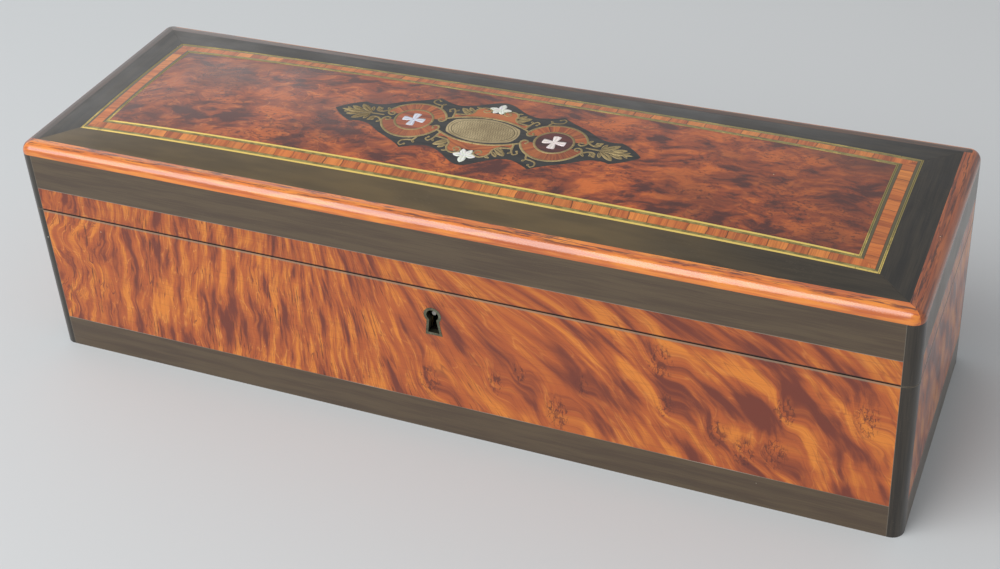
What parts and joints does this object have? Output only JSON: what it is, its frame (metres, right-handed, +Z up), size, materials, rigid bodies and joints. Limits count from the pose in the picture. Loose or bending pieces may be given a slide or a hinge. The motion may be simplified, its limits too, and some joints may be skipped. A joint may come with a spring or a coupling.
{
  "type": "glove box",
  "caption": "Long veneered box with a hinged, gently domed lid inlaid with a marquetry cartouche and brass stringing, fitted with a lock and a quilted lining.",
  "frame": {"origin": "centre of the box's underside", "axes": "+X runs along the box to the right, +Y to the back where the hinges are, +Z up"},
  "size_m": [0.32, 0.1047, 0.0938],
  "materials": {
    "carcass_wood": "bare softwood",
    "ebonised_wood": "black stained and French polished",
    "burr_veneer": "figured veneer, French polished",
    "moulding_wood": "French polished",
    "kingwood": "straight grained, French polished",
    "brass": "worn, slightly dull",
    "steel": "filed",
    "mother_of_pearl": "polished shell",
    "silk_lining": "quilted silk satin"
  },
  "bodies": {
    "case": {"back_bottom_band": "ebonised_wood", "back_burr_panel": "burr_veneer", "back_lining": "silk_lining", "bottom_board": "carcass_wood", "case_back_board": "carcass_wood", "case_corner_posts": "ebonised_wood", "case_front_board": "carcass_wood", "case_left_board": "carcass_wood", "case_right_board": "carcass_wood", "detent_spring": "steel", "drill_pin": "steel", "end_bottom_bands": "ebonised_wood", "end_burr_panels": "burr_veneer", "end_linings": "silk_lining", "floor_pad": "silk_lining", "front_bottom_band": "ebonised_wood", "front_burr_panel": "burr_veneer", "front_lining": "silk_lining", "hinge_case_leaves": "brass", "hinge_case_screws": "brass", "hinge_pins": "brass", "keyhole_escutcheon": "brass", "lock_cap": "brass", "lock_plate": "brass", "lock_screws": "steel"},
    "lid": {"back_burr_strip": "burr_veneer", "back_moulding": "moulding_wood", "back_upper_band": "ebonised_wood", "brass_scrollwork": "brass", "brass_strings": "brass", "burr_field": "burr_veneer", "cartouche_ground": "ebonised_wood", "crossband": "kingwood", "end_burr_strips": "burr_veneer", "end_mouldings": "moulding_wood", "end_upper_bands": "ebonised_wood", "engine_turned_plate": "brass", "front_burr_strip": "burr_veneer", "front_moulding": "moulding_wood", "front_upper_band": "ebonised_wood", "hinge_lid_leaves": "brass", "hinge_lid_screws": "brass", "kingwood_inlays": "kingwood", "lid_back_rim": "carcass_wood", "lid_corner_posts": "ebonised_wood", "lid_front_rim": "carcass_wood", "lid_left_rim": "carcass_wood", "lid_pad": "silk_lining", "lid_right_rim": "carcass_wood", "lid_top_board": "carcass_wood", "lid_wall_lining": "silk_lining", "link_plate": "brass", "link_plate_screws": "steel", "medallion_discs": "kingwood", "pearl_inlays": "mother_of_pearl", "top_border": "ebonised_wood"},
    "lock_bolt": {"lock_bolt": "steel"}
  },
  "joints": [
    {"name": "lid_hinge", "type": "hinge", "parent": "case", "child": "lid", "pos_m": [0, 0.051, 0.0612], "axis": [-1, 0, 0], "range_deg": [0, 94]},
    {"name": "bolt_slide", "type": "slide", "parent": "case", "child": "lock_bolt", "axis": [1, 0, 0], "range_m": [0, 0.004]}
  ]
}
